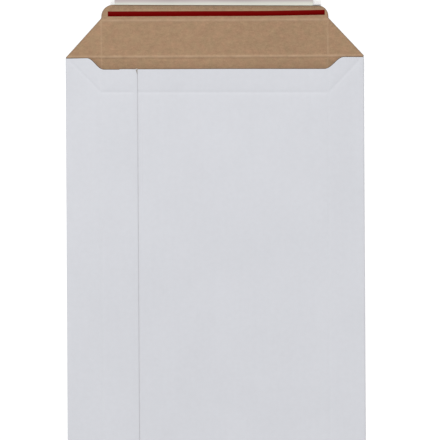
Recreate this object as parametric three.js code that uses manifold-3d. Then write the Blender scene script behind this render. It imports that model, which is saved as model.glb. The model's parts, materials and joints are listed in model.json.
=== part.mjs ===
// Cardboard mailing envelope: a folded and glued board pocket with its closure flap open. The flap
// carries a tear strip and an adhesive line under a peel-off liner. It lies on its back, as it comes to rest.
// Millimetres. +X runs across the pocket, +Y from the bottom fold to the flap, +Z up.
// The origin is the middle of the pocket's back, on the surface that it lies on.

import * as THREE from "three";
import { mergeVertices } from "three/addons/utils/BufferGeometryUtils.js";
import Module from "manifold-3d";

const wasm = await Module();
wasm.setup();

// Driving dimensions of the pocket
const pocketWidth = 250;
const pocketHeight = 353; // bottom fold to flap crease
const board = 0.6; // thickness of the solid board
const foldRadius = 0.5; // inside a side fold
const fillDepth = 30; // inset of the score lines that let the pocket fill out
const gape = 4.6; // how far the empty pocket springs open in the middle

// The front is two panels that overlap in a glued seam
const leftPanelWidth = 60; // the outer panel
const seamOverlap = 16;
const glueGap = 0.3; // between two glued boards
const glueClearance = 0.05; // between the glue and each board
const glueMargin = 2; // from the glue to the end of an overlap

// The mouth: two shoulders beside the folds, and a lip cut lower between them
const shoulderDrop = 1.3; // from the flap crease to the shoulders
const shoulderWidth = 18;
const lipDrop = 10.9; // from the flap crease to the lip
const lipSetIn = 1.5; // from the score lines to the lip's ends

// The bottom flap is folded up over the front and glued there
const bottomFlapHeight = 26;
const bottomFlapInset = 2; // from the pocket's sides
const bottomFlapTaper = 12; // how much each end narrows to the free edge
const bottomFlapJoggle = 4; // the flap steps down over this width beside the seam
const bottomFlapLap = 5; // the flap and the back are one board over this length
const bottomClearance = 0.3; // from the front panels to the inside of the bottom fold
const riseLength = 32; // the front rises over this length above the bottom flap

// The closure flap, with a cross score at the fill depth and a tab beyond it
const creaseGap = 0.3; // between the pocket's back and the flap
const tabHeight = 13; // from the cross score to the free edge
const tabShoulder = 2.3; // from the cross score to where the slanted ends meet the tab
const tabCornerRadius = 10;

// What is stuck to the flap, measured from the tab's sides and free edge
const bondGap = 0.02;
const tearStripWidth = 3.9;
const tearStripThickness = 0.12;
const tearStripInsetLeft = 6;
const tearStripInsetRight = 2.5;
const tearStripDrop = 7.5; // from the free edge to its middle line
const tearStripRise = 0.8; // how much higher its right end lies
const adhesiveWidth = 3;
const adhesiveThickness = 0.15;
const adhesiveEdge = 0.4; // from the flap's free edge
const linerInsetLeft = 9.5;
const linerInsetRight = 5.5;
const linerLap = 0.4; // the liner reaches this far past the adhesive
const linerOverhang = 5; // past the flap's free edge, as a finger lift
const linerThickness = 0.08;

// Score lines are shallow grooves pressed into the outside of the board
const scoreWidth = 1.2;
const scoreDepth = 0.15;

const foldSteps = 8;
const bottomFoldSteps = 12;
const curveSegments = 8;
const cutMargin = 1; // how far a cutter reaches past what it cuts

// Places worked out from the dimensions
const half = pocketWidth / 2;
const bottomY = -pocketHeight / 2;
const creaseY = pocketHeight / 2;
const lipY = creaseY - lipDrop;
const shoulderY = creaseY - shoulderDrop;
const scoreX = half - fillDepth;
const scoreY = creaseY - fillDepth;
const seamX = leftPanelWidth - half; // free edge of the left panel
const hiddenX = seamX - seamOverlap; // edge of the right panel, under the left one
const foldX = half - board - foldRadius; // axis of a side fold
const foldZ = board + foldRadius;
const layerStep = board + glueGap; // from one glued board to the next
const pressedZ = board + 2 * foldRadius; // inside of the front where it is pressed flat
const fullLift = gape - 2 * foldRadius; // from there to the inside of the open front
const pocketTop = pressedZ + fullLift + layerStep + board;

const flapSeatHigh = pressedZ + 2 * layerStep; // inside of the bottom flap over the left panel
const flapSeatLow = pressedZ + layerStep; // and over the right panel
const bottomFoldRadius = (seat) => (seat + board) / 2; // outside of the bottom fold
const frontStartY = bottomY + bottomFoldRadius(flapSeatHigh) + bottomClearance;
const bottomFlapY = bottomY + bottomFlapHeight;

const flapHeight = fillDepth + tabHeight; // crease to free edge
const tabStart = fillDepth + tabShoulder;

// Materials
const whiteBoard = new THREE.MeshStandardMaterial({ color: 0xd8dade, roughness: 0.7, metalness: 0 });
const redTape = new THREE.MeshStandardMaterial({ color: 0x6e0606, roughness: 0.45, metalness: 0 });
const clearGlue = new THREE.MeshStandardMaterial({ color: 0xc9b48a, roughness: 0.35, metalness: 0 });
const paleFilm = new THREE.MeshStandardMaterial({ color: 0xdadcd6, roughness: 0.3, metalness: 0 });

// A three.js geometry as a solid that can be cut and joined.
function solidOf(geometry) {
  const bare = geometry.index ? geometry.toNonIndexed() : geometry.clone();
  bare.deleteAttribute("normal");
  bare.deleteAttribute("uv");
  const merged = mergeVertices(bare);
  return new wasm.Manifold(
    new wasm.Mesh({
      numProp: 3,
      vertProperties: merged.attributes.position.array,
      triVerts: new Uint32Array(merged.index.array),
    }),
  );
}

function geometryOf(solid) {
  const mesh = solid.getMesh();
  return new THREE.BufferGeometry()
    .setAttribute("position", new THREE.BufferAttribute(mesh.vertProperties, 3))
    .setIndex(new THREE.BufferAttribute(mesh.triVerts, 1))
    .toNonIndexed();
}

// A flat piece: a shape in the XY plane, made thick upwards from z.
function plate(shape, thickness, z = 0) {
  const options = { depth: thickness, bevelEnabled: false, curveSegments };
  return new THREE.ExtrudeGeometry(shape, options).translate(0, 0, z);
}

// A closed board between two grids of points, [row][column], whose rows and columns match.
function sheetGeometry(outer, inner) {
  const rows = outer.length;
  const columns = outer[0].length;
  const index = [];
  const at = (layer, row, column) => (layer * rows + row) * columns + column;
  const quad = (a, b, c, d) => index.push(a, b, c, a, c, d);
  for (let r = 0; r + 1 < rows; r++) {
    for (let c = 0; c + 1 < columns; c++) {
      quad(at(0, r, c), at(0, r + 1, c), at(0, r + 1, c + 1), at(0, r, c + 1));
      quad(at(1, r, c), at(1, r, c + 1), at(1, r + 1, c + 1), at(1, r + 1, c));
    }
    quad(at(0, r + 1, 0), at(0, r, 0), at(1, r, 0), at(1, r + 1, 0));
    quad(at(0, r, columns - 1), at(0, r + 1, columns - 1), at(1, r + 1, columns - 1), at(1, r, columns - 1));
  }
  for (let c = 0; c + 1 < columns; c++) {
    quad(at(0, 0, c), at(0, 0, c + 1), at(1, 0, c + 1), at(1, 0, c));
    quad(at(0, rows - 1, c + 1), at(0, rows - 1, c), at(1, rows - 1, c), at(1, rows - 1, c + 1));
  }
  return new THREE.BufferGeometry().setFromPoints([...outer.flat(), ...inner.flat()]).setIndex(index);
}

// A line that runs beside another, to the right of its direction, with mitred corners.
function offsetLine(points, distance) {
  const rightOf = (a, b) => new THREE.Vector2(b.y - a.y, a.x - b.x).normalize();
  return points.map((point, i) => {
    const before = rightOf(points[Math.max(i - 1, 0)], points[Math.max(i, 1)]);
    const after = rightOf(points[Math.min(i, points.length - 2)], points[Math.min(i + 1, points.length - 1)]);
    const mitre = before.clone().add(after).normalize();
    return point.clone().addScaledVector(mitre, distance / mitre.dot(after));
  });
}

// The inside of the board across the pocket, as (x, z) points: from the left panel's free edge, round the
// left fold, the back and the right fold, to the right panel's hidden edge. lift raises the front.
function insideLine(lift) {
  const rightZ = pressedZ + lift;
  const leftZ = rightZ + layerStep;
  const fold = (x, from) => new THREE.ArcCurve(x, foldZ, foldRadius, from, from + Math.PI).getPoints(foldSteps);
  return [
    new THREE.Vector2(seamX, leftZ),
    new THREE.Vector2(-scoreX, leftZ),
    ...fold(-foldX, Math.PI / 2),
    ...fold(foldX, -Math.PI / 2),
    new THREE.Vector2(scoreX, rightZ),
    new THREE.Vector2(hiddenX, rightZ),
  ];
}

// How far the front stands up along the pocket: pressed flat under the bottom flap, then open to the mouth.
const liftStations = [
  { y: frontStartY, lift: 0 },
  { y: bottomFlapY, lift: 0 },
  { y: bottomFlapY + riseLength, lift: fullLift },
  { y: creaseY - creaseGap / 2, lift: fullLift },
];

// The back, both side folds and both front panels, one board.
function wrapGeometry() {
  const row = (line, y) => line.map((p) => new THREE.Vector3(p.x, y, p.y));
  const inner = liftStations.map(({ y, lift }) => row(insideLine(lift), y));
  const outer = liftStations.map(({ y, lift }) => row(offsetLine(insideLine(lift), board), y));
  return sheetGeometry(outer, inner);
}

// The bottom flap, from the back round the bottom fold and up over the front. It steps down beside the seam.
function bottomFlapGeometry() {
  const end = half - bottomFlapInset;
  const columns = [
    { x: end, seat: flapSeatLow, taper: -bottomFlapTaper },
    { x: seamX + cutMargin + bottomFlapJoggle, seat: flapSeatLow, taper: 0 },
    { x: seamX + cutMargin, seat: flapSeatHigh, taper: 0 },
    { x: -end, seat: flapSeatHigh, taper: bottomFlapTaper },
  ];
  const rowsOf = (thickness) => {
    const lines = columns.map(({ x, seat, taper }) => {
      const outside = bottomFoldRadius(seat);
      const axisY = bottomY + outside;
      const radius = outside - board + thickness;
      const bend = new THREE.ArcCurve(axisY, outside, radius, 1.5 * Math.PI, 0.5 * Math.PI, true);
      return [
        new THREE.Vector3(x, frontStartY + bottomFlapLap, outside - radius),
        ...bend.getPoints(bottomFoldSteps).map((p) => new THREE.Vector3(x, p.x, p.y)),
        new THREE.Vector3(x + taper, bottomFlapY, outside + radius),
      ];
    });
    return lines[0].map((_, r) => lines.map((line) => line[r]));
  };
  return sheetGeometry(rowsOf(board), rowsOf(0));
}

// What is cut away from the front above the shoulders and the lip.
function mouthCutGeometry() {
  const shoulderX = half - shoulderWidth;
  const lipX = scoreX - lipSetIn;
  const ease = (shoulderX - lipX) / 2;
  const side = half + cutMargin;
  const shape = new THREE.Shape();
  shape.moveTo(-side, shoulderY);
  shape.lineTo(-shoulderX, shoulderY);
  shape.bezierCurveTo(-shoulderX + ease, shoulderY, -lipX - ease, lipY, -lipX, lipY);
  shape.lineTo(lipX, lipY);
  shape.bezierCurveTo(lipX + ease, lipY, shoulderX - ease, shoulderY, shoulderX, shoulderY);
  shape.lineTo(side, shoulderY);
  shape.lineTo(side, creaseY + cutMargin);
  shape.lineTo(-side, creaseY + cutMargin);
  return plate(shape, pocketTop + cutMargin - foldZ, foldZ);
}

// A V-shaped groove between two points of a flat outside face, cut along the face's inward direction.
function scoreGeometry(from, to, inward) {
  const across = new THREE.Vector3().subVectors(to, from).normalize().cross(inward).setLength(scoreWidth / 2);
  const section = (p) => [
    p.clone().add(across).addScaledVector(inward, -scoreDepth),
    p.clone().sub(across).addScaledVector(inward, -scoreDepth),
    p.clone().addScaledVector(inward, scoreDepth),
  ];
  const points = [...section(from), ...section(to)];
  const faces = [0, 2, 1, 3, 4, 5, 0, 1, 4, 0, 4, 3, 1, 2, 5, 1, 5, 4, 2, 0, 3, 2, 3, 5];
  return new THREE.BufferGeometry().setFromPoints(points).setIndex(faces);
}

// The score lines of the front: across it below the mouth, and slanting to it from the two shoulders.
function frontScores() {
  const rightZ = pressedZ + fullLift + board;
  const leftZ = rightZ + layerStep;
  const down = new THREE.Vector3(0, 0, -1);
  const slant = (side, topZ) => {
    const foldTop = new THREE.Vector3(side * foldX, shoulderY, pressedZ + board);
    const corner = new THREE.Vector3(side * scoreX, scoreY, topZ);
    const slopeDown = new THREE.Vector3(side * (topZ - foldTop.z), 0, foldX - scoreX).normalize().negate();
    return scoreGeometry(foldTop, corner, slopeDown);
  };
  const across = (fromX, toX, z) =>
    scoreGeometry(new THREE.Vector3(fromX, scoreY, z), new THREE.Vector3(toX, scoreY, z), down);
  return [across(-scoreX, seamX, leftZ), across(seamX, scoreX, rightZ), slant(-1, leftZ), slant(1, rightZ)];
}

function pocketGeometry() {
  const front = solidOf(wrapGeometry()).subtract(solidOf(mouthCutGeometry()));
  const scored = frontScores().reduce((solid, score) => solid.subtract(solidOf(score)), front);
  return geometryOf(scored.add(solidOf(bottomFlapGeometry())));
}

// A strip of glue between two boards: a rectangle, given by its sides, between two heights.
function glueGeometry(left, right, low, high, z) {
  return new THREE.BoxGeometry(right - left, high - low, glueGap - 2 * glueClearance).translate(
    (left + right) / 2,
    (low + high) / 2,
    z + glueGap / 2,
  );
}

// The glue of the side seam follows the front as it rises, and stops below the mouth.
function seamGlueGeometry() {
  const left = hiddenX + glueMargin;
  const right = seamX - glueMargin;
  const stations = liftStations.slice(1).map(({ y, lift }) => ({ y: Math.min(y, lipY - glueMargin), lift }));
  const rows = (height) =>
    stations.map(({ y, lift }) => {
      const z = pressedZ + lift + board + height;
      return [new THREE.Vector3(left, y, z), new THREE.Vector3(right, y, z)];
    });
  return sheetGeometry(rows(glueClearance), rows(glueGap - glueClearance));
}

function flapShape() {
  const root = creaseGap / 2;
  const shape = new THREE.Shape();
  shape.moveTo(-half, root);
  shape.lineTo(half, root);
  shape.lineTo(scoreX, tabStart);
  shape.lineTo(scoreX, flapHeight - tabCornerRadius);
  shape.absarc(scoreX - tabCornerRadius, flapHeight - tabCornerRadius, tabCornerRadius, 0, Math.PI / 2);
  shape.absarc(tabCornerRadius - scoreX, flapHeight - tabCornerRadius, tabCornerRadius, Math.PI / 2, Math.PI);
  shape.lineTo(-scoreX, tabStart);
  return shape;
}

// The flap's own score lines, pressed into its outside, which faces down while the flap is open.
function flapGeometry() {
  const up = new THREE.Vector3(0, 0, 1);
  const lines = [
    [-scoreX, creaseGap / 2, -scoreX, tabStart],
    [scoreX, creaseGap / 2, scoreX, tabStart],
    [-scoreX, fillDepth, scoreX, fillDepth],
  ];
  const flap = solidOf(plate(flapShape(), board));
  const scored = lines.reduce((solid, [x0, y0, x1, y1]) => {
    const score = scoreGeometry(new THREE.Vector3(x0, y0, 0), new THREE.Vector3(x1, y1, 0), up);
    return solid.subtract(solidOf(score));
  }, flap);
  return geometryOf(scored);
}

// The tear strip was laid by hand, so its right end drifts towards the flap's free edge.
function tearStripGeometry() {
  const middle = flapHeight - tearStripDrop;
  const low = middle - tearStripWidth / 2;
  const high = middle + tearStripWidth / 2;
  const left = tearStripInsetLeft - scoreX;
  const right = scoreX - tearStripInsetRight;
  const shape = new THREE.Shape();
  shape.moveTo(left, low);
  shape.quadraticCurveTo(right / 2, low, right, low + tearStripRise);
  shape.lineTo(right, high + tearStripRise);
  shape.quadraticCurveTo(right / 2, high, left, high);
  return plate(shape, tearStripThickness, board + bondGap);
}

// The adhesive and its liner run between the same two ends.
function stripGeometry(low, high, thickness, z) {
  const left = linerInsetLeft - scoreX;
  const right = scoreX - linerInsetRight;
  return new THREE.BoxGeometry(right - left, high - low, thickness).translate(
    (left + right) / 2,
    (low + high) / 2,
    z + thickness / 2,
  );
}

function part(name, geometry, material) {
  geometry.computeVertexNormals();
  const mesh = new THREE.Mesh(geometry, material);
  mesh.name = name;
  return mesh;
}

function pocketGroup() {
  const flatLeft = -scoreX + glueMargin; // the left panel is level from here to the seam
  const joggleEnd = seamX + cutMargin + bottomFlapJoggle + glueMargin;
  const rightEnd = half - bottomFlapInset - bottomFlapTaper - glueMargin;
  const low = frontStartY + glueMargin;
  const high = bottomFlapY - glueMargin;
  const group = new THREE.Group();
  group.add(
    part("pocket", pocketGeometry(), whiteBoard),
    part("side_seam_glue", seamGlueGeometry(), clearGlue),
    part(
      "bottom_glue_left",
      glueGeometry(flatLeft, seamX - glueMargin, low, high, flapSeatHigh - glueGap),
      clearGlue,
    ),
    part("bottom_glue_right", glueGeometry(joggleEnd, rightEnd, low, high, flapSeatLow - glueGap), clearGlue),
  );
  return group;
}

// The flap's pieces are measured from the crease, so its group sits there.
function flapGroup() {
  const adhesiveHigh = flapHeight - adhesiveEdge;
  const adhesiveLow = adhesiveHigh - adhesiveWidth;
  const adhesiveZ = board + bondGap;
  const linerZ = adhesiveZ + adhesiveThickness + bondGap;
  const adhesive = stripGeometry(adhesiveLow, adhesiveHigh, adhesiveThickness, adhesiveZ);
  const liner = stripGeometry(adhesiveLow - linerLap, flapHeight + linerOverhang, linerThickness, linerZ);
  const group = new THREE.Group();
  group.position.set(0, creaseY, 0);
  group.add(
    part("closure_flap", flapGeometry(), whiteBoard),
    part("tear_strip", tearStripGeometry(), redTape),
    part("adhesive_strip", adhesive, clearGlue),
    part("release_liner", liner, paleFilm),
  );
  return group;
}

const envelope = new THREE.Group();
envelope.add(pocketGroup(), flapGroup());

export default envelope;
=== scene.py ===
# Looks of a cardboard mailing envelope, white outside and kraft brown inside, with its flap open.
# The board is laid out as one flat blank, scored, and folded up around the frame.
# Sizes are in millimetres and become metres when a mesh is made.
import json
import math
from collections import namedtuple

import bpy
import numpy as np
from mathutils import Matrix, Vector, geometry


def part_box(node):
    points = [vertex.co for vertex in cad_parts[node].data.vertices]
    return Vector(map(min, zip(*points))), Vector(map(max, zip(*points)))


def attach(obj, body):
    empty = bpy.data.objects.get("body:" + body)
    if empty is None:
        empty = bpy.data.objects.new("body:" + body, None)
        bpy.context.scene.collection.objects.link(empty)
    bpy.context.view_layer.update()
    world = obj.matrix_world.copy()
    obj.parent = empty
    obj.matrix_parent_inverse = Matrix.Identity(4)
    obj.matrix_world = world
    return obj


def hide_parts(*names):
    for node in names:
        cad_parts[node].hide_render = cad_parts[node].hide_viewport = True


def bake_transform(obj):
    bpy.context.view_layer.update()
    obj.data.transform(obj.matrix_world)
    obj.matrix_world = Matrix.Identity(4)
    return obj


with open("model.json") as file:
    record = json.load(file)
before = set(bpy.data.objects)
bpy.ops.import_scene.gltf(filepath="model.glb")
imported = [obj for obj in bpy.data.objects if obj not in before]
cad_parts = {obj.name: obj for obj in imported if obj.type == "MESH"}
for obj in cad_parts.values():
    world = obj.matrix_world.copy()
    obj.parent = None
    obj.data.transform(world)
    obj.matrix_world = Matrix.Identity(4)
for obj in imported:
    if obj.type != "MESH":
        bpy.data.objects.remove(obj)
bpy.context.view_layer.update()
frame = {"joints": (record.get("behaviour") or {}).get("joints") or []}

MM = 0.001

# Sizes that the frame gives
crease = frame["joints"][0]
pocket_low, pocket_high = (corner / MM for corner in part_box("pocket"))
flap_low, flap_high = (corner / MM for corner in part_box("closure_flap"))
tape_low, tape_high = (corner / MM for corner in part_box("tear_strip"))
adhesive_low, adhesive_high = (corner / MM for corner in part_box("adhesive_strip"))
liner_low, liner_high = (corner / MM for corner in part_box("release_liner"))

HALF = flap_high.x
BOARD = flap_high.z - flap_low.z
CREASE_Y = crease["pos_m"][1] / MM
BOTTOM_Y = pocket_low.y
FLAP_END = flap_high.y
POCKET_TOP = pocket_high.z

# Sides of the board, by the sign of x
LEFT, RIGHT = -1, 1

# Folds and score lines of the board
FOLD_RADIUS = 0.5
FILL_DEPTH = 30.0
CROSS_SCORE_DROP = 0.8
GLUE_GAP = 0.3
TOP_CLEAR = 0.9
SCORE_X = HALF - FILL_DEPTH
SCORE_Y = CREASE_Y - FILL_DEPTH - CROSS_SCORE_DROP
TAB_SCORE_Y = CREASE_Y + FILL_DEPTH
LAYER_STEP = BOARD + GLUE_GAP
PRESSED_Z = BOARD + 2 * FOLD_RADIUS
FULL_LIFT = POCKET_TOP - BOARD - LAYER_STEP - PRESSED_Z - TOP_CLEAR

# Front panels and mouth
SEAM_X = -64.6
HIDDEN_X = -80.2
INNER_X = {LEFT: SEAM_X, RIGHT: HIDDEN_X}
SHOULDER_Y = CREASE_Y - 1.3
SHOULDER_X = {LEFT: HALF - 18.0, RIGHT: HALF - 16.6}
SHOULDER_EASE = 0.38
LIP_X = {LEFT: SCORE_X - 2.6, RIGHT: SCORE_X - 3.6}
LIP_Y = CREASE_Y - 11.56
LIP_STEP_X = -79.9
LIP_STEP_WIDTH = 0.5
LIP_STEP = 0.42
LIP_SEAM_X = SEAM_X - 1.5
LIP_RISE_LENGTH = 90.0
LIP_RISE = 0.25
LIP_SKEW = -0.005

# Closure flap, which is cut a little out of square
SLANT_START_Y = {LEFT: CREASE_Y - 0.8, RIGHT: CREASE_Y}
TAB_START_Y = {LEFT: CREASE_Y + 32.2, RIGHT: CREASE_Y + 31.6}
TAB_SIDE = {LEFT: SCORE_X, RIGHT: SCORE_X + 0.5}
TAB_CORNER = {LEFT: 10.0, RIGHT: 8.8}
TAB_TRIM = 0.34
TAB_SKEW = -0.0087

# Bottom flap
BOTTOM_FLAP_Y = BOTTOM_Y + 26.0
BOTTOM_FLAP_END = HALF - 2.0
BOTTOM_FLAP_TAPER = 12.0
BOTTOM_FLAP_CORNER = 5.0
BOTTOM_FLAP_SLANT = 2.4
SEAT_HIGH = PRESSED_Z + 2 * LAYER_STEP
SEAT_LOW = PRESSED_Z + LAYER_STEP
JOGGLE_START = SEAM_X + 1.0
JOGGLE_WIDTH = 4.0

# How the empty pocket stands open
RISE_LENGTH = 260.0
SCORE_ROUND = 2.0
SEAM_PRESS = 0.26
SEAM_PRESS_WIDTH = 2.4
CREASE_LIFT = 0.6
CREASE_ROUND = 0.8
CROWN = 0.35
FLAP_CURL = 0.9

# The blank, in which a side fold and a front panel carry on outwards from the back
FRONT_CLEAR = 0.3
FOLD_X = HALF - BOARD - FOLD_RADIUS
FOLD_MID = FOLD_RADIUS + BOARD / 2
FOLD_ARC = math.pi * FOLD_MID
TURN = 2 * FOLD_X + FOLD_ARC
FOLD_LINE = FOLD_X + FOLD_ARC / 2
ROLL_Y = BOTTOM_Y + (SEAT_HIGH + BOARD) / 2
ROLL_ARC = math.pi * SEAT_HIGH / 2
FRONT_START_Y = ROLL_Y + FRONT_CLEAR
BOTTOM_FREE_Q = ROLL_Y - math.pi * SEAT_LOW / 2 - (BOTTOM_FLAP_Y - ROLL_Y)

# Score beads, whose own depths are shares of BEAD_DEPTH
SEAM_MARKS = (2.1, 4.2)
SEAM_MARK_START = CREASE_Y - 120.0
RIDGE_OFFSET = 0.35
GROOVE_OFFSET = 2.5
GROOVE_END = HALF - 4.0
DIAGONAL_START = 0.12
BEAD_DEPTH = 0.16
CREASE_DEPTH = 1.4
GROOVE_DEPTH = -0.6
TAB_DEPTH = 1.3
MARK_DEPTH = 0.4
BACK_DEPTH = 0.85
FRONT_DEPTH = 0.8
CROSS_DEPTH = 1.1
DIAGONAL_DEPTH = {LEFT: 0.95, RIGHT: 1.15}
BEAD_WIDTH = 0.65
WIDE_BEAD = 1.0
CROSS_BEAD = 1.4
DIAGONAL_BEAD = 1.3

# Cut edges
EDGE_ROUND = 0.6
EDGE_THIN = 0.15
EDGE_BAND_WIDTH = 1.4

# Spacing of the mesh
GRID = 6.0
GRID_CLEAR = GRID / 3
LINE_STEP = 5.0
LINE_CLEAR = 0.3
EDGE_ROWS = (0.3, 1.0, 2.0)
EDGE_CLEAR = 0.4
BEAD_ROWS = (-1.8, -1, -0.5, 0, 0.5, 1, 1.8)
FINE_SHARE = 12
BEND_MARGIN = 0.6
FOLD_LINES = 12
FOLD_END_LENGTH = 8.0
FOLD_END_STEP = 0.5
BOTTOM_LINES = 14
JOGGLE_LINES = 6
CREASE_BEND_START = CREASE_Y - 1.2
CREASE_BEND_END = CREASE_Y + 2.8
CREASE_LINES = 18
LIP_STEPS = 8
SHOULDER_STEPS = 14
TAB_STEPS = 12
CORNER_STEPS = 10
SLOPE_REACH = 0.05
FLATTEST = 1e-4
MERGE = 1e-4
SHARP_ANGLE = math.radians(50)

# What is stuck to the flap, with waves as height, length and phase
STRIP_STEPS = 90
STRIP_ROUND = 0.4
STUCK_GAP = 0.02
TAPE_THICKNESS = 0.12
TAPE_WIDTH = 4.2
TAPE_START = 0.5
TAPE_RISE = 0.8
TAPE_BEND_X = 38.0
TAPE_BEND = 1.3
TAPE_SKEW = -0.0018
ADHESIVE_WAVES = ((0.12, 17.0, 0.0), (0.08, 6.3, 0.0))
FILM_THICKNESS = 0.08
FILM_ROWS = 14
LINER_REACH = liner_high.y - FLAP_END
LINER_START = 2.1
LINER_SLOPE = 0.04
LINER_LIFT = 0.3
LINER_WAVES = ((0.2, 23.0, 0.7), (0.125, 9.1, 0.0))
HEM_GAP = -0.15
HEM_LIFT = 0.14
HEM_INSETS = ((0.0, 0.0), (3.9, 6.9))

# Glue in the seam
GLUE_MARGIN = 2.0
GLUE_CLEAR = 0.03
SEAM_GLUE_CLEAR = 3.2
SEAM_GLUE_THICKNESS = 0.06
SEAM_GLUE_LOW = HIDDEN_X + GLUE_MARGIN
SEAM_GLUE_HIGH = SEAM_X - SEAM_PRESS_WIDTH - SEAM_GLUE_CLEAR

# Colours, as scene-linear red, green and blue
WHITE = (0.658, 0.667, 0.706)
# A greyed white, for the white edges and, as painted light over the seam's shade, for the seam's cut
# wall
GREYED_WHITE = (0.60, 0.58, 0.56)
KRAFT = (0.366, 0.234, 0.139)
KRAFT_WARM = (0.374, 0.231, 0.139)
KRAFT_GREY = (0.358, 0.237, 0.139)
# The paler kraft on the score ridges, partly fibre whitening and partly a painted highlight
KRAFT_PALE_AND_HIGHLIGHT = (0.52, 0.36, 0.24)
BOARD_CORE = (0.125, 0.095, 0.073)
RED = (0.147, 0.0008, 0.0004)
ADHESIVE = (0.22, 0.15, 0.09)
FILM = (0.30, 0.25, 0.20)

# Colours through the cut board from inside to outside, and over the finger lift from the tab outwards
CUT_LAYERS = ((0.05, KRAFT), (0.17, BOARD_CORE), (0.93, BOARD_CORE), (0.99, WHITE))
LIFT_TINTS = (
    (0.14, (0.69, 0.685, 0.605)),
    (0.31, (0.62, 0.615, 0.565)),
    (0.48, (0.58, 0.525, 0.51)),
    (0.66, (0.51, 0.44, 0.44)),
)

# Sockets of a mix node: the factor, and the pair that is mixed, as values or as colours
MIX_FACTOR = 0
MIX_VALUES = (2, 3)
MIX_COLOURS = (6, 7)

# How far the edges go over to another colour: white edges to a greyed white, kraft edges darker, partly
# crushed board and partly painted shade, and the seam's cut wall to a pale grey, painted light over the
# seam's shade
WHITE_WEAR = 0.1
KRAFT_WEAR_AND_SHADE = 0.4
SEAM_PAINTED_LIGHT = 0.9

# Noise, where nothing else is said
NOISE_START, NOISE_END = 0.3, 0.7
NOISE_STRETCH = (1, 1, 1)
NOISE_DETAIL = 4
NOISE_ROUGHNESS = 0.55

# A noise between two shades, with so many features to a metre
Tone = namedtuple(
    "Tone",
    "scale low high start end stretch detail roughness",
    defaults=(NOISE_START, NOISE_END, NOISE_STRETCH, NOISE_DETAIL, NOISE_ROUGHNESS),
)

# A bumpy surface, with so many features to a metre
Relief = namedtuple(
    "Relief", "scale distance strength stretch detail", defaults=(NOISE_STRETCH, NOISE_DETAIL)
)

# White paper: clouds, formation, streaks along the web and scuffs
WHITE_TONES = (
    Tone(14, 0.987, 1.01, start=0.35, end=0.65),
    Tone(260, 0.985, 1.012, detail=5),
    Tone(40, 0.995, 1.004, stretch=(6, 0.35, 1)),
    Tone(30, 0.975, 1, start=0.27, end=0.40, detail=8, roughness=0.7),
)
WHITE_ROUGHNESS = Tone(350, 0.56, 0.68)
WHITE_RELIEF = Relief(1500, 0.03 * MM, 0.35, detail=3)

# Kraft: a broad drift, clouds, grain, fibres, fine grain, dark flecks and pale flecks
KRAFT_TONES = (
    Tone(5, 0.95, 1.05, start=0.35, end=0.65, stretch=(-1, 1, 1), detail=1),
    Tone(90, 0.965, 1.035, detail=2),
    Tone(300, 0.93, 1.07),
    Tone(520, 0.94, 1.06, stretch=(0.45, 1.3, 1)),
    Tone(1100, 0.91, 1.09, detail=3),
    Tone(900, 0.82, 1, start=0.24, end=0.34, stretch=(0.5, 1, 1), detail=2),
    Tone(650, 1, 1.12, start=0.64, end=0.74, stretch=(0.8, 1, 1), detail=2),
)
KRAFT_HUE = Tone(170, 0, 1, start=0.35, end=0.65, detail=3)
# Patches of the paler scores, partly fibre whitening and partly a painted highlight
KRAFT_SCORES = Tone(140, 0.2, 0.5, end=0.65, stretch=(1, 0.3, 1))
KRAFT_ROUGHNESS = Tone(500, 0.78, 0.92, stretch=(0.45, 1.3, 1))
KRAFT_RELIEF = Relief(800, 0.06 * MM, 0.5, stretch=(0.5, 1.5, 1), detail=5)

# Cut edge, tape, adhesive and films
CUT_TONE = Tone(2500, 0.85, 1.1, stretch=(1, 1, 0.3))
TAPE_TONE = Tone(900, 0.85, 1.15, stretch=(0.02, 3, 1))
TAPE_ROUGHNESS = Tone(900, 0.44, 0.56, stretch=(0.02, 3, 1))
TAPE_RELIEF = Relief(900, 0.03 * MM, 0.4, stretch=(0.02, 3, 1))
ADHESIVE_TONE = Tone(300, 0.9, 1.1)
ADHESIVE_RELIEF = Relief(500, 0.1 * MM, 0.4)
FILM_TONE = Tone(60, 0.92, 1.08)
FILM_RELIEF = Relief(120, 0.2 * MM, 0.3, stretch=(0.3, 1, 1))
LIFT_TONE = Tone(60, 0.95, 1.05, stretch=(0.4, 2, 1))
LIFT_ROUGHNESS = Tone(60, 0.34, 0.46, stretch=(0.4, 2, 1))

# Floor and world
FLOOR = 0.8
FLOOR_GLOW = 0.3
FLOOR_SIZE = 8000.0
FLOOR_Z = -0.2
WORLD_LIGHT = 0.45

# Light, in metres and watts
KEY_PLACE = (-0.95, 4.25, 5.4)
KEY_AIM = (0, 0.05, 0)
KEY_SIZE = 3.1
KEY_POWER = 345.0

# Camera
SENSOR = 36.0
LENS = 120.0
PICTURE_WIDTH = 368.6
PICTURE_MIDDLE = (3.73, 38.84)
PICTURE_Z = 3.0
CAMERA_ROLL = 0.0052


# The folded shape

def front_p(x, side):
    """Where a point of the left (-1) or right (1) front panel lies across the blank."""
    return side * (TURN - side * x)


def hinge(d, rounding):
    """Zero below 0 and d above it, with a rounded corner."""
    middle = (d + rounding) ** 2 / (4 * rounding)
    return np.where(d < -rounding, 0, np.where(d > rounding, d, middle))


def smooth(t):
    """From 0 to 1, with level ends."""
    t = np.clip(t, 0, 1)
    return t * t * (3 - 2 * t)


def slope_of(height, at):
    """Slope of a height along one axis."""
    return (height(at + SLOPE_REACH) - height(at - SLOPE_REACH)) / (2 * SLOPE_REACH)


def unit(directions):
    """Directions with a length of 1."""
    return directions / np.linalg.norm(directions, axis=1, keepdims=True)


def side_ramp(x):
    """From 0 at a side fold to 1 inside the score line next to it."""
    d = FOLD_X - np.abs(x)
    width = FOLD_X - SCORE_X
    return (hinge(d - SCORE_ROUND, SCORE_ROUND) - hinge(d - width, SCORE_ROUND)) / (width - SCORE_ROUND)


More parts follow.
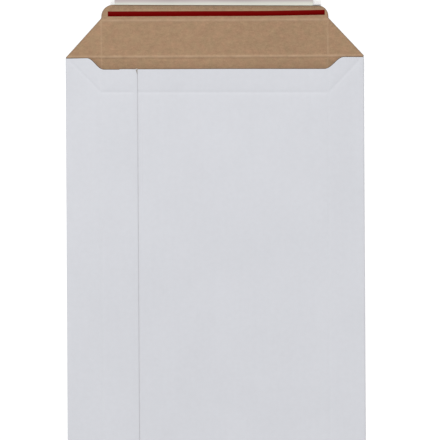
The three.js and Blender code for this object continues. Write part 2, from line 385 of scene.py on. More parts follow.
def front_height(x, y, side):
    """Height of the middle of the board of a front panel. The left one lies over the right one."""
    opening = smooth((y - BOTTOM_FLAP_Y) / RISE_LENGTH)
    step = np.where(side == LEFT, LAYER_STEP, 0)
    crown = CROWN * opening * np.cos(np.clip(x / HALF, -1, 1) * math.pi / 2) ** 2
    pressed = np.where(side == LEFT, SEAM_PRESS * smooth((x - SEAM_X) / SEAM_PRESS_WIDTH + 1), 0)
    return PRESSED_Z + BOARD / 2 + (FULL_LIFT * opening + step) * side_ramp(x) + crown - pressed


def front_surface(x, y, side):
    """Middle points and outward directions of the front panels."""
    slope_x = slope_of(lambda at: front_height(at, y, side), x)
    slope_y = slope_of(lambda at: front_height(x, at, side), y)
    normal = np.stack([-slope_x, -slope_y, np.ones_like(x)], 1)
    return np.stack([x, y, front_height(x, y, side)], 1), unit(normal)


def side_bend(p, q):
    """Middle points and outward directions of the side folds, which flatten out at the flap crease."""
    fade = 1 - smooth((q - SHOULDER_Y) / (CREASE_Y - SHOULDER_Y))
    curvature = np.maximum(fade, FLATTEST) / FOLD_MID
    angle = curvature * (np.abs(p) - FOLD_X)
    x = np.sign(p) * (FOLD_X + np.sin(angle) / curvature)
    z = BOARD / 2 + (1 - np.cos(angle)) / curvature
    normal = np.stack([np.sign(p) * np.sin(angle), np.zeros_like(p), -np.cos(angle)], 1)
    return np.stack([x, q, z], 1), normal


def bottom_seat(x):
    """Height of the inside of the bottom flap, which steps down beside the seam."""
    return SEAT_HIGH - (SEAT_HIGH - SEAT_LOW) * smooth((x - JOGGLE_START) / JOGGLE_WIDTH)


def bottom_bend(p, q):
    """Middle points and outward directions of the bottom fold and the bottom flap."""
    radius = bottom_seat(p) / 2
    roll_y = BOTTOM_Y + radius + BOARD / 2
    along = roll_y - q
    angle = np.clip(along / radius, 0, math.pi)
    past = np.maximum(along - math.pi * radius, 0)
    y = np.where(along < 0, q, roll_y - radius * np.sin(angle) + past)
    z = BOARD / 2 + radius * (1 - np.cos(angle))
    normal = np.stack([np.zeros_like(p), -np.sin(angle), -np.cos(angle)], 1)
    return np.stack([p, y, z], 1), normal


def flap_surface(p, q):
    """Middle points and outward directions of the back and the closure flap, whose tab curls up."""
    along = np.clip((q - CREASE_BEND_END) / (FLAP_END - CREASE_BEND_END), 0, 1)
    z = BOARD / 2 + FLAP_CURL * along ** 2
    slope = 2 * FLAP_CURL * along / (FLAP_END - CREASE_BEND_END)
    normal = np.stack([np.zeros_like(p), slope, -np.ones_like(p)], 1)
    return np.stack([p, q, z], 1), unit(normal)


def crease_lift(y):
    """How far the board stands off the table, which is furthest along the flap crease."""
    rise = CREASE_LIFT / (CREASE_Y - SCORE_Y)
    fall = CREASE_LIFT / (liner_high.y - CREASE_Y)
    return rise * hinge(y - SCORE_Y, SCORE_ROUND) - (rise + fall) * hinge(y - CREASE_Y, CREASE_ROUND)


def fold_board(blank):
    """Middle points and outward directions of the folded board, for points of the flat blank."""
    p, q = blank.T
    side = np.sign(p)
    reach = np.abs(p)
    middle, normal = flap_surface(p, q)
    regions = [
        ((reach <= FOLD_X) & (q < ROLL_Y + BOARD), bottom_bend(p, q)),
        ((reach > FOLD_X) & (reach <= FOLD_X + FOLD_ARC) & (q < CREASE_Y), side_bend(p, q)),
        (reach > FOLD_X + FOLD_ARC, front_surface(side * (TURN - reach), q, side)),
    ]
    for where, (points, directions) in regions:
        middle[where] = points[where]
        normal[where] = directions[where]
    y = middle[:, 1]
    normal[:, 1] -= slope_of(crease_lift, y) * normal[:, 2]
    middle[:, 2] += crease_lift(y)
    return middle, unit(normal)


# The flat blank

def curve(start, handle_a, handle_b, end, steps):
    """Points of a cubic curve, without its start."""
    made = geometry.interpolate_bezier(*(Vector(v) for v in (start, handle_a, handle_b, end)), steps + 1)
    return [tuple(v) for v in made[1:]]


def arc(centre, radius, start, end, steps):
    """Points of a circular arc between two angles in degrees."""
    angles = np.radians(np.linspace(start, end, steps + 1))
    return [(centre[0] + radius * math.cos(a), centre[1] + radius * math.sin(a)) for a in angles]


def lip_height(x):
    """Where the mouth's lip lies along the envelope: a step at the hidden edge, a rise past the seam."""
    step = LIP_STEP * smooth((x - LIP_STEP_X) / LIP_STEP_WIDTH)
    rise = LIP_RISE * smooth((x - SEAM_X) / LIP_RISE_LENGTH)
    return LIP_Y + LIP_SKEW * x + step + rise


def lip_points(side):
    """The lip's points on the blank between a panel's inner edge and the curve up to the shoulder."""
    rise = np.linspace(SEAM_X, SEAM_X + LIP_RISE_LENGTH, LIP_STEPS + 1)
    stations = [LIP_STEP_X, LIP_STEP_X + LIP_STEP_WIDTH, LIP_SEAM_X, *rise]
    kept = sorted(side * x for x in stations if side * INNER_X[side] < side * x < LIP_X[side])
    return [(TURN - reach, lip_height(side * reach)) for reach in kept]


def cross_score_y(x):
    """Where the score line across the front lies, along the envelope."""
    return SCORE_Y + LIP_SKEW * x


def tab_end(x):
    """Where the free edge of the flap's tab lies, along the envelope."""
    return FLAP_END - TAB_TRIM + TAB_SKEW * x


def half_outline(side):
    """The blank's edge on one side, from the bottom flap's free edge round to the closure flap's tab."""
    inner_edge = side * front_p(INNER_X[side], side)
    free_x = BOTTOM_FLAP_END - BOTTOM_FLAP_TAPER
    free_start = (free_x - BOTTOM_FLAP_CORNER, BOTTOM_FREE_Q)
    free_corner = (free_x, BOTTOM_FREE_Q)
    taper_start = (free_x + BOTTOM_FLAP_SLANT, BOTTOM_FREE_Q + BOTTOM_FLAP_CORNER)
    lip_end = (TURN - LIP_X[side], lip_height(side * LIP_X[side]))
    shoulder = (TURN - SHOULDER_X[side], SHOULDER_Y)
    ease = (SHOULDER_X[side] - LIP_X[side]) * SHOULDER_EASE
    lip_handle = (lip_end[0] - ease, lip_end[1])
    shoulder_handle = (shoulder[0] + ease, SHOULDER_Y)
    corner_middle = TAB_SIDE[side] - TAB_CORNER[side]
    tab_corner = (corner_middle, tab_end(side * corner_middle) - TAB_CORNER[side])
    points = [
        free_start,
        *curve(free_start, free_corner, free_corner, taper_start, CORNER_STEPS),
        (BOTTOM_FLAP_END, ROLL_Y - ROLL_ARC),
        (BOTTOM_FLAP_END, FRONT_START_Y),
        (inner_edge, FRONT_START_Y),
        (inner_edge, lip_height(INNER_X[side])),
        *lip_points(side),
        lip_end,
        *curve(lip_end, lip_handle, shoulder_handle, shoulder, SHOULDER_STEPS),
        (FOLD_LINE, SHOULDER_Y),
        (HALF, SLANT_START_Y[side]),
        (TAB_SIDE[side], TAB_START_Y[side]),
        *arc(tab_corner, TAB_CORNER[side], 0, 90, TAB_STEPS),
    ]
    return [(side * p, q) for p, q in points]


def score_lines():
    """The board's score lines on the blank: start, end, a share of the full depth, and a half width."""
    ridge_y, groove_y = CREASE_Y - RIDGE_OFFSET, CREASE_Y - GROOVE_OFFSET
    lines = [
        ((-HALF, ridge_y), (HALF, ridge_y), CREASE_DEPTH, WIDE_BEAD),
        ((-GROOVE_END, groove_y), (GROOVE_END, groove_y), GROOVE_DEPTH, WIDE_BEAD),
        ((-SCORE_X, TAB_SCORE_Y), (SCORE_X, TAB_SCORE_Y), TAB_DEPTH, WIDE_BEAD),
    ]
    for mark_x in SEAM_MARKS:
        mark = front_p(SEAM_X + mark_x, RIGHT)
        lines.append(((mark, SEAM_MARK_START), (mark, lip_height(SEAM_X)), MARK_DEPTH, BEAD_WIDTH))
    for side in (LEFT, RIGHT):
        back = side * SCORE_X
        front = front_p(back, side)
        cross_end = (front_p(INNER_X[side], side), cross_score_y(INNER_X[side]))
        corner = np.array((front, cross_score_y(back)))
        fold_end = np.array((side * (FOLD_X + FOLD_ARC), SHOULDER_Y))
        diagonal_start = fold_end + DIAGONAL_START * (corner - fold_end)
        lines += [
            ((back, FRONT_START_Y), (back, TAB_SCORE_Y), BACK_DEPTH, BEAD_WIDTH),
            ((front, FRONT_START_Y), (front, lip_height(back)), FRONT_DEPTH, WIDE_BEAD),
            (corner, cross_end, CROSS_DEPTH, CROSS_BEAD),
            (diagonal_start, corner, DIAGONAL_DEPTH[side], DIAGONAL_BEAD),
        ]
    return [(np.array(start), np.array(end), depth, width) for start, end, depth, width in lines]


def guide_lines():
    """Lines that the mesh follows beside scores and round folds: start, end and sometimes a step."""
    lines = []
    for start, end, _, width in score_lines():
        along = (end - start) / np.linalg.norm(end - start)
        across = np.array((-along[1], along[0])) * width
        lines += [(start + k * across, end + k * across) for k in BEAD_ROWS]
    fold_end_y = SHOULDER_Y - FOLD_END_LENGTH
    for reach in np.linspace(FOLD_X, FOLD_X + FOLD_ARC, FOLD_LINES + 1):
        for p in (-reach, reach):
            lines.append(((p, FRONT_START_Y), (p, fold_end_y)))
            lines.append(((p, fold_end_y), (p, SHOULDER_Y), FOLD_END_STEP))
    for q in np.linspace(ROLL_Y, ROLL_Y - ROLL_ARC, BOTTOM_LINES + 1):
        lines.append(((-BOTTOM_FLAP_END, q), (BOTTOM_FLAP_END, q)))
    bend_end = HALF - FOLD_END_LENGTH
    for q in np.linspace(CREASE_BEND_START, CREASE_BEND_END, CREASE_LINES + 1):
        lines.append(((-bend_end, q), (bend_end, q)))
        for side in (LEFT, RIGHT):
            lines.append(((side * bend_end, q), (side * HALF, q), FOLD_END_STEP))
    for x in np.linspace(JOGGLE_START, JOGGLE_START + JOGGLE_WIDTH, JOGGLE_LINES + 1):
        lines.append(((x, BOTTOM_FREE_Q), (x, ROLL_Y)))
    return lines


# The mesh of the blank

def sampled(start, end, step=LINE_STEP):
    """Points along a straight line, both ends included."""
    count = max(1, round(np.linalg.norm(np.subtract(end, start)) / step))
    return np.linspace(start, end, count + 1)


def bending(points):
    """Which points of the blank lie in a fold or in the flap's bend."""
    q = points[:, 1]
    reach = np.abs(points[:, 0])
    side_fold = (reach > FOLD_X - BEND_MARGIN) & (reach < FOLD_X + FOLD_ARC + BEND_MARGIN)
    bottom_fold = (q < ROLL_Y + BEND_MARGIN) & (q > ROLL_Y - ROLL_ARC - BEND_MARGIN)
    crease_bend = (q > CREASE_BEND_START - BEND_MARGIN) & (q < CREASE_BEND_END + BEND_MARGIN)
    return side_fold | bottom_fold | crease_bend


def outline_points(corners):
    """Points round the blank's edge, closer together where the board bends."""
    rows = []
    for start, end in zip(corners, np.roll(corners, -1, axis=0)):
        coarse = len(sampled(start, end)) - 1
        row = np.linspace(start, end, coarse * FINE_SHARE + 1)[:-1]
        kept = bending(row) | (np.arange(len(row)) % FINE_SHARE == 0)
        rows.append(row[kept])
    return np.concatenate(rows)


def distance_to(points, starts, ends):
    """Distance of each point to the nearest of some straight lines."""
    nearest = np.full(len(points), np.inf)
    for a, b in zip(starts, ends):
        along = b - a
        t = np.clip((points - a) @ along / (along @ along), 0, 1)
        nearest = np.minimum(nearest, np.linalg.norm(points - a - t[:, None] * along, axis=1))
    return nearest


def inside(points, outline):
    """Which points lie inside a closed outline."""
    crossings = np.zeros(len(points), int)
    for a, b in zip(outline, np.roll(outline, -1, axis=0)):
        if a[1] != b[1]:
            spans = (a[1] > points[:, 1]) != (b[1] > points[:, 1])
            at = a[0] + (points[:, 1] - a[1]) * (b[0] - a[0]) / (b[1] - a[1])
            crossings += spans & (points[:, 0] < at)
    return crossings % 2 == 1


def inset(outline, distance):
    """The points of a closed outline, moved inwards by a distance."""
    along = np.roll(outline, -1, axis=0) - np.roll(outline, 1, axis=0)
    across = np.stack([-along[:, 1], along[:, 0]], 1)
    return outline + distance * across / np.linalg.norm(across, axis=1, keepdims=True)


def triangulate(outline, lines):
    """A mesh of the blank whose edges follow its outline and the lines: points and triangles."""
    edge = outline_points(outline)
    starts, ends = edge, np.roll(edge, -1, axis=0)
    points = [edge]
    links = [(i, (i + 1) % len(edge)) for i in range(len(edge))]
    count = len(edge)
    open_row, closed_ring = 1, 0
    rows = [(sampled(*line), LINE_CLEAR, open_row) for line in lines]
    rows += [(inset(edge, share * EDGE_ROUND), EDGE_CLEAR * share, closed_ring) for share in EDGE_ROWS]
    for row, clear, first in rows:
        kept = inside(row, edge) & (distance_to(row, starts, ends) > clear)
        numbers = count + np.cumsum(kept) - 1
        pairs = [(i - 1, i) for i in range(first, len(row))]
        links += [(numbers[a], numbers[b]) for a, b in pairs if kept[a] and kept[b]]
        points.append(row[kept])
        count += kept.sum()
    axes = (np.arange(low + GRID / 2, high, GRID) for low, high in zip(outline.min(0), outline.max(0)))
    grid = np.stack(np.meshgrid(*axes), -1).reshape(-1, 2)
    line_starts, line_ends = (np.array([line[k] for line in lines], float) for k in (0, 1))
    grid = grid[distance_to(grid, line_starts, line_ends) > GRID_CLEAR]
    grid = grid[inside(grid, edge)]
    grid = grid[distance_to(grid, starts, ends) > GRID_CLEAR]
    points = np.concatenate([*points, grid])
    made = geometry.delaunay_2d_cdt([Vector(v) for v in points], links, [], 1, MERGE)
    return np.array([tuple(v) for v in made[0]]), np.array([tuple(f) for f in made[2]])


def score_depth(blank):
    """How deep each point of the blank is scored, as a share of the full depth."""
    bead = np.zeros(len(blank))
    for start, end, depth, width in score_lines():
        mark = depth * np.exp(-((distance_to(blank, [start], [end]) / width) ** 2))
        bead = np.where(np.abs(mark) > np.abs(bead), mark, bead)
    return bead


def border_walls(faces, count):
    """Faces round the border of a mesh that join it to a second layer, count points further on."""
    directed = {(a, b) for f in faces for a, b in zip(f, np.roll(f, -1))}
    border = sorted((a, b) for a, b in directed if (b, a) not in directed)
    return [(b + count, a + count, a, b) for a, b in border]


# Pieces

def make_object(name, points, faces, materials, slots=None):
    """A smooth-shaded mesh object from points in millimetres."""
    mesh = bpy.data.meshes.new(name)
    mesh.from_pydata((np.asarray(points) * MM).tolist(), [], [list(map(int, f)) for f in faces])
    for material in materials:
        mesh.materials.append(material)
    if slots is not None:
        mesh.polygons.foreach_set("material_index", np.asarray(slots, np.int32))
    mesh.shade_smooth()
    mesh.set_sharp_from_angle(angle=SHARP_ANGLE)
    mesh.update()
    made = bpy.data.objects.new(name, mesh)
    bpy.context.scene.collection.objects.link(made)
    return made


def store(made, name, values):
    """Keeps a number for each point, for a material to read."""
    attribute = made.data.attributes.new(name, "FLOAT", "POINT")
    attribute.data.foreach_set("value", np.asarray(values, np.float32))


def make_board():
    """The folded board, from the bottom flap to the closure flap: its outside, inside and cut edges."""
    outline = np.array(half_outline(RIGHT) + half_outline(LEFT)[::-1])
    blank, faces = triangulate(outline, guide_lines())
    middle, normal = fold_board(blank)
    bead = score_depth(blank)
    from_edge = distance_to(blank, outline, np.roll(outline, -1, axis=0))
    # Along the seam's edge the cut wall is painted pale grey: painted light over the shade in the seam
    seam_edge = np.abs(blank[:, 0] - front_p(SEAM_X, LEFT)) < EDGE_BAND_WIDTH
    # Darker towards the cut edges: partly crushed board, partly painted shade along the edges
    edge_darkening = np.where(seam_edge, 0, 1 - smooth(from_edge / EDGE_BAND_WIDTH))
    rounding = 1 - np.clip(from_edge / EDGE_ROUND, 0, 1)
    thickness = BOARD / 2 * np.maximum(np.sqrt(1 - rounding ** 2), EDGE_THIN)
    outer = middle + normal * (thickness - BEAD_DEPTH * bead)[:, None]
    inner = middle - normal * (thickness + BEAD_DEPTH * bead)[:, None]
    count = len(blank)
    walls = border_walls(faces, count)
    shell = [tuple(f[::-1]) for f in faces] + [tuple(f + count) for f in faces] + walls
    # Along the seam the rounded edge keeps the white face rather than the cut core: part of the painted
    # light over the seam's shade
    cut = (from_edge[faces].mean(1) < EDGE_ROUND) & ~seam_edge[faces].all(1)
    materials = [white_board(), kraft_board(), cut_board()]
    white, kraft, bare = range(len(materials))
    slots = [np.where(cut, bare, white), np.where(cut, bare, kraft), np.full(len(walls), bare)]
    points = np.concatenate([outer, inner])
    board = make_object("envelope_board", points, shell, materials, np.concatenate(slots))
    across = thickness / BOARD
    store(board, "across", np.concatenate([0.5 + across, 0.5 - across]))
    for name, values in (("edge_wear_and_shade", edge_darkening), ("seam_edge", seam_edge), ("score_whitening_and_highlight", bead)):
        store(board, name, np.concatenate([values, values]))
    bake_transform(board)
    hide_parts("pocket", "closure_flap")


def loft(loops):
    """Points and faces of a closed piece through a row of matching closed loops."""
    rows, columns = len(loops), len(loops[0])
    faces = [tuple(range(columns))[::-1], tuple((rows - 1) * columns + k for k in range(columns))]
    for r in range(rows - 1):
        for k in range(columns):
            a, b = r * columns + k, r * columns + (k + 1) % columns
            faces.append((a, b, b + columns, a + columns))
    return np.concatenate(loops), faces


def flat_section(width, thickness):
    """A thin rectangle with rounded ends, as (across, up) points that start at its lower left."""
    r = thickness * STRIP_ROUND
    w, h = width / 2, thickness
    return np.array([
        (-w, r), (-w + r, 0), (w - r, 0), (w, r),
        (w, h - r), (w - r, h), (-w + r, h), (-w, h - r),
    ])


def strip_on_flap(low, high, width, thickness, middle_y):
    """A strip across the inside of the flap, between two ends, along a line middle_y(x)."""
    section = flat_section(width, thickness)
    loops = []
    for x in np.linspace(low, high, STRIP_STEPS + 1):
        y = middle_y(x) + section[:, 0]
        across = np.full_like(y, x)
        middle, _ = flap_surface(across, y)
        z = middle[:, 2] + crease_lift(y) + BOARD / 2 + STUCK_GAP + section[:, 1]
        loops.append(np.stack([across, y, z], 1))
    return loft(loops)


def waves(x, parts):
    """A sum of waves, each a height, a length and a phase."""
    return sum(height * np.sin(x / length + phase) for height, length, phase in parts)


def make_tear_strip():
    """The red strip, which climbs a little towards its right end."""
    start_y = tape_low.y + (tape_high.y - tape_low.y - TAPE_RISE) / 2

    def middle_y(x):
        bend = max(0, (x - TAPE_BEND_X) / (tape_high.x - TAPE_BEND_X))
        return start_y + TAPE_SKEW * x + TAPE_RISE * bend ** TAPE_BEND

    ends = (tape_low.x - TAPE_START, tape_high.x)
    points, faces = strip_on_flap(*ends, TAPE_WIDTH, TAPE_THICKNESS, middle_y)
    strip = make_object("tear_strip_film", points, faces, [red_tape()])
    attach(strip, "flap")
    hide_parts("tear_strip")


def make_adhesive():
    """The adhesive line along the tab's free edge, which wavers a little."""
    middle = (adhesive_low.y + adhesive_high.y) / 2
    width = adhesive_high.y - adhesive_low.y
    thickness = adhesive_high.z - adhesive_low.z
    ends = (adhesive_low.x, adhesive_high.x)
    points, faces = strip_on_flap(*ends, width, thickness, lambda x: middle + waves(x, ADHESIVE_WAVES))
    strip = make_object("adhesive_line", points, faces, [clear_adhesive()])
    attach(strip, "flap")
    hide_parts("adhesive_strip")


def liner_height(x, y):
    """The underside of the liner: flat on the adhesive, and waving where it reaches past the tab."""
    base = BOARD + FLAP_CURL + STUCK_GAP + adhesive_high.z - adhesive_low.z + STUCK_GAP
    along = (y - CREASE_BEND_END) / (FLAP_END - CREASE_BEND_END)
    on_tab = base - FLAP_CURL * (1 - np.minimum(along, 1) ** 2)
    past = np.maximum(y - FLAP_END, 0)
    wave = LINER_LIFT + waves(x, LINER_WAVES)
    return on_tab + crease_lift(y) + past * LINER_SLOPE + wave * (past / LINER_REACH) ** 2


def film_loops(low, high, from_y, lift):
    """Loops of a thin film over the tab's end, between two ends, from a line from_y(x) outwards."""
    loops = []
    for x in np.linspace(low, high, STRIP_STEPS + 1):
        across = np.linspace(from_y(x), liner_high.y, FILM_ROWS)
        under = np.stack([np.full_like(across, x), across, liner_height(x, across) + lift], 1)
        over = under + (0, 0, FILM_THICKNESS)
        loops.append(np.concatenate([under, over[::-1]]))
    return loops


def make_liner():
    """A clear film over the adhesive, with a folded film and a milky finger lift past the tab."""
    low, high = liner_low.x - LINER_START, liner_high.x
    points, faces = loft(film_loops(low, high, lambda x: liner_low.y, 0))
    for layer, (inset_left, inset_right) in enumerate(HEM_INSETS, 1):
        ends = (low + inset_left, high - inset_right)
        hem_points, hem_faces = loft(film_loops(*ends, lambda x: tab_end(x) + HEM_GAP, layer * HEM_LIFT))
        faces += [tuple(i + len(points) for i in f) for f in hem_faces]
        points = np.concatenate([points, hem_points])
    slots = np.zeros(len(faces), int)
    slots[-len(hem_faces):] = 1
    film = make_object("release_film", points, faces, [liner_film(), finger_lift()], slots)
    store(film, "past_tab", (points[:, 1] - FLAP_END) / LINER_REACH)
    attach(film, "flap")
    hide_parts("release_liner")


def make_seam_glue():
    """Glue between the two front panels, from the bottom flap to just below the mouth."""
    section = flat_section(SEAM_GLUE_HIGH - SEAM_GLUE_LOW, SEAM_GLUE_THICKNESS)
    across = (SEAM_GLUE_LOW + SEAM_GLUE_HIGH) / 2 + section[:, 0]
    loops = []
    for y in np.linspace(LIP_Y - GLUE_MARGIN, BOTTOM_FLAP_Y, STRIP_STEPS + 1):
        along = np.full_like(across, y)
        under = front_height(across, along, RIGHT) + crease_lift(along) + BOARD / 2 + GLUE_CLEAR
        loops.append(np.stack([across, along, under + section[:, 1]], 1))
    glue = make_object("seam_glue_line", *loft(loops), [clear_adhesive()])
    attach(glue, "pocket")
    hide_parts("side_seam_glue")


def make_bottom_glue(node):
    """A run of glue under the bottom flap, as a low pad with a rounded edge."""
    low, high = (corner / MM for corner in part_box(node))
    section = flat_section(high.y - low.y, high.z - low.z)
    loops = []
    for x in np.linspace(low.x, high.x, STRIP_STEPS + 1):
        y = (low.y + high.y) / 2 + section[:, 0]
        loops.append(np.stack([np.full_like(y, x), y, low.z + section[:, 1]], 1))
    glue = make_object(node + "_pad", *loft(loops), [clear_adhesive()])
    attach(glue, "pocket")
    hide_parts(node)


# Materials

def add_node(tree, kind, inputs=None, **settings):
    """A shader node with its settings, and its inputs set or linked by name or number."""
    made = tree.nodes.new(kind)
    for key, value in settings.items():
        setattr(made, key, value)
    for key, value in (inputs or {}).items():
        if isinstance(value, bpy.types.NodeSocket):
            tree.links.new(value, made.inputs[key])
        else:
            made.inputs[key].default_value = value
    return made


def new_material(name, **values):
    """A material, its node tree and its shader, with some of the shader's values set."""
    material = bpy.data.materials.new(name)
    material.use_nodes = True
    shader = material.node_tree.nodes["Principled BSDF"]
    for key, value in values.items():
        shader.inputs[key.replace("_", " ")].default_value = value
    return material, material.node_tree, shader


def grey(level):
    """A colour without a hue."""
    return (level, level, level)


def point_value(tree, name):
    """A number that is kept for each point."""
    return add_node(tree, "ShaderNodeAttribute", attribute_name=name).outputs["Fac"]


def maths(tree, operation, a, b):
    """Two values put together: MULTIPLY, MAXIMUM or another operation."""
    return add_node(tree, "ShaderNodeMath", {0: a, 1: b}, operation=operation).outputs[0]


def mix(tree, kind, factor, a, b):
    """Two colours mixed: MIX, MULTIPLY or another blend type."""
    inputs = {MIX_FACTOR: factor, **dict(zip(MIX_COLOURS, (a, b)))}
    made = add_node(tree, "ShaderNodeMix", inputs, data_type="RGBA", blend_type=kind)
    return made.outputs[2]


def ramp(tree, value, *stops):
    """A colour ramp from (position, colour) stops."""
    made = add_node(tree, "ShaderNodeValToRGB", {"Fac": value})
    elements = made.color_ramp.elements
    while len(elements) < len(stops):
        elements.new(0.5)
    for element, (position, colour) in zip(elements, stops):
        element.position = position
        element.color = (*colour, 1)
    return made.outputs["Color"]


def noise(tree, scale, stretch, detail, roughness=NOISE_ROUGHNESS):
    """Noise in the object's own space, with so many features to a metre, stretched along the axes."""
    place = add_node(tree, "ShaderNodeTexCoord")
    mapping = add_node(tree, "ShaderNodeMapping", {"Vector": place.outputs["Object"], "Scale": stretch})
    made = add_node(
        tree,
        "ShaderNodeTexNoise",
        {"Vector": mapping.outputs[0], "Scale": scale, "Detail": detail, "Roughness": roughness},
    )
    return made.outputs["Fac"]


def shade(tree, tone):
    """A noise between the two shades of a tone."""
    value = noise(tree, tone.scale, tone.stretch, tone.detail, tone.roughness)
    return ramp(tree, value, (tone.start, grey(tone.low)), (tone.end, grey(tone.high)))


def toned(tree, colour, *tones):
    """A colour with tones laid over it."""
    for tone in tones:
        colour = mix(tree, "MULTIPLY", 1.0, colour, shade(tree, tone))
    return colour


def shifted_by_points(tree, colour, name, share, to_colour):
    """A colour that goes over to another where a number kept for the points is high."""
    amount = maths(tree, "MULTIPLY", point_value(tree, name), share)
    return mix(tree, "MIX", amount, colour, (*to_colour, 1))


def finish_surface(tree, shader, colour, roughness=None, relief=None):
    """Gives a shader its colour and, where there is one, a roughness that varies and a relief."""
    tree.links.new(colour, shader.inputs["Base Color"])
    if roughness:
        tree.links.new(shade(tree, roughness), shader.inputs["Roughness"])
    if relief:
        height = noise(tree, relief.scale, relief.stretch, relief.detail)
        settings = {"Height": height, "Distance": relief.distance, "Strength": relief.strength}
        made = add_node(tree, "ShaderNodeBump", settings)
        tree.links.new(made.outputs[0], shader.inputs["Normal"])


def white_board():
    """Coated white paper, cloudy and faintly streaked, with greyed edges."""
    material, tree, shader = new_material("white_board", Specular_IOR_Level=0.35)
    colour = toned(tree, (*WHITE, 1), *WHITE_TONES)
    colour = shifted_by_points(tree, colour, "edge_wear_and_shade", WHITE_WEAR, GREYED_WHITE)
    finish_surface(tree, shader, colour, WHITE_ROUGHNESS, WHITE_RELIEF)
    return material


def kraft_board():
    """Recycled kraft: a cloudy hue, grain and flecks, paler on its scores, partly fibre whitening and
    partly a painted highlight, and darker at its edges, partly crushed board and partly painted shade.
    """
    material, tree, shader = new_material("kraft_board", Specular_IOR_Level=0.2)
    hue = mix(tree, "MIX", shade(tree, KRAFT_HUE), (*KRAFT_WARM, 1), (*KRAFT_GREY, 1))
    colour = toned(tree, hue, *KRAFT_TONES)
    # Paler on the score ridges: partly fibre whitening, partly a painted highlight
    colour = shifted_by_points(tree, colour, "score_whitening_and_highlight", shade(tree, KRAFT_SCORES), KRAFT_PALE_AND_HIGHLIGHT)
    # The kraft darkens towards its cut edges, partly crushed board and partly painted shade
    colour = shifted_by_points(tree, colour, "edge_wear_and_shade", KRAFT_WEAR_AND_SHADE, BOARD_CORE)
    finish_surface(tree, shader, colour, KRAFT_ROUGHNESS, KRAFT_RELIEF)
    return material


def cut_board():
    """The cut edge: grey-brown core between a white face and a brown one, painted a pale grey along the
    seam as painted light over the seam's shade.
    """
    material, tree, shader = new_material("cut_board", Roughness=0.9, Specular_IOR_Level=0.15)
    layers = ramp(tree, point_value(tree, "across"), *CUT_LAYERS)
    # Along the seam the cut wall is painted pale grey, painted light over the shade in the seam
    colour = shifted_by_points(tree, toned(tree, layers, CUT_TONE), "seam_edge", SEAM_PAINTED_LIGHT, GREYED_WHITE)
    finish_surface(tree, shader, colour)
    return material


def red_tape():
    """Red film with faint lengthwise draw lines."""
    material, tree, shader = new_material("red_tape", Specular_IOR_Level=0.015)
    finish_surface(tree, shader, toned(tree, (*RED, 1), TAPE_TONE), TAPE_ROUGHNESS, TAPE_RELIEF)
    return material


def clear_adhesive():
    """Clear tacky adhesive, faintly cloudy."""
    material, tree, shader = new_material("clear_adhesive", Roughness=0.25, Alpha=0.02)
    finish_surface(tree, shader, toned(tree, (*ADHESIVE, 1), ADHESIVE_TONE), relief=ADHESIVE_RELIEF)
    return material


def liner_film():
    """Thin translucent film, faintly cloudy."""
    material, tree, shader = new_material("liner_film", Roughness=0.22, Alpha=0.04)
    finish_surface(tree, shader, toned(tree, (*FILM, 1), FILM_TONE), relief=FILM_RELIEF)
    return material


def finger_lift():
    """The milky strip along the film's outer edge, pale by the tab and faintly pink further out."""
    material, tree, shader = new_material("finger_lift", Specular_IOR_Level=0.2)
    tint = ramp(tree, point_value(tree, "past_tab"), *LIFT_TINTS)
    finish_surface(tree, shader, toned(tree, tint, LIFT_TONE), LIFT_ROUGHNESS, FILM_RELIEF)
    return material


# Floor, world, light and camera

def background_ray(tree):
    """1 for rays that see the background: from the camera, in a reflection or through a clear piece."""
    path = add_node(tree, "ShaderNodeLightPath")
    total = path.outputs["Is Camera Ray"]
    for name in ("Is Glossy Ray", "Is Transmission Ray"):
        total = maths(tree, "MAXIMUM", total, path.outputs[name])
    return total


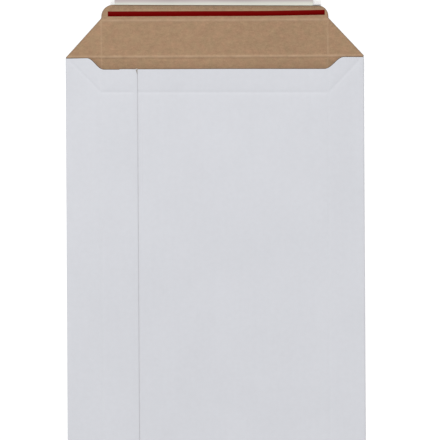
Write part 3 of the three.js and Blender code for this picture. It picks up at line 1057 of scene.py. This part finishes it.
def floor_material():
    """A pale floor that looks white to the camera and keeps the object's shadow."""
    material, tree, shader = new_material("floor", Roughness=0.9, Specular_IOR_Level=0)
    shader.inputs["Base Color"].default_value = (*grey(FLOOR), 1)
    shader.inputs["Emission Color"].default_value = (*grey(1), 1)
    glow = maths(tree, "MULTIPLY", background_ray(tree), FLOOR_GLOW)
    tree.links.new(glow, shader.inputs["Emission Strength"])
    return material


def make_floor():
    """A square floor just under the envelope."""
    reach = FLOOR_SIZE / 2
    ways = ((-1, -1), (1, -1), (1, 1), (-1, 1))
    corners = [(reach * across, reach * along, FLOOR_Z) for across, along in ways]
    make_object("floor", corners, [(0, 1, 2, 3)], [floor_material()])


def make_world():
    """A white background that gives the envelope only part of its brightness as light."""
    world = bpy.data.worlds.new("studio")
    world.use_nodes = True
    tree = world.node_tree
    background = tree.nodes["Background"]
    background.inputs["Color"].default_value = (*grey(1), 1)
    inputs = {MIX_FACTOR: background_ray(tree), **dict(zip(MIX_VALUES, (WORLD_LIGHT, 1.0)))}
    strength = add_node(tree, "ShaderNodeMix", inputs, data_type="FLOAT")
    tree.links.new(strength.outputs[0], background.inputs["Strength"])
    bpy.context.scene.world = world


def make_key_light():
    """A large round lamp above and beyond the flap."""
    data = bpy.data.lights.new("key", "AREA")
    data.shape = "DISK"
    data.size = KEY_SIZE
    data.energy = KEY_POWER
    lamp = bpy.data.objects.new("key", data)
    lamp.location = KEY_PLACE
    lamp.rotation_mode = "QUATERNION"
    lamp.rotation_quaternion = (Vector(KEY_AIM) - Vector(KEY_PLACE)).to_track_quat("-Z", "Y")
    bpy.context.scene.collection.objects.link(lamp)


def make_camera():
    """Straight above the envelope, turned a little, with the pocket's end out of the picture."""
    data = bpy.data.cameras.new("camera")
    data.sensor_width = SENSOR
    data.lens = LENS
    camera = bpy.data.objects.new("camera", data)
    distance = PICTURE_WIDTH / SENSOR * LENS
    camera.location = Vector((*PICTURE_MIDDLE, PICTURE_Z + distance)) * MM
    camera.rotation_euler = (0, 0, -CAMERA_ROLL)
    bpy.context.scene.collection.objects.link(camera)
    bpy.context.scene.camera = camera


bpy.context.scene.view_settings.view_transform = "Standard"
make_board()
make_tear_strip()
make_adhesive()
make_liner()
make_seam_glue()
make_bottom_glue("bottom_glue_left")
make_bottom_glue("bottom_glue_right")
make_floor()
make_world()
make_key_light()
make_camera()
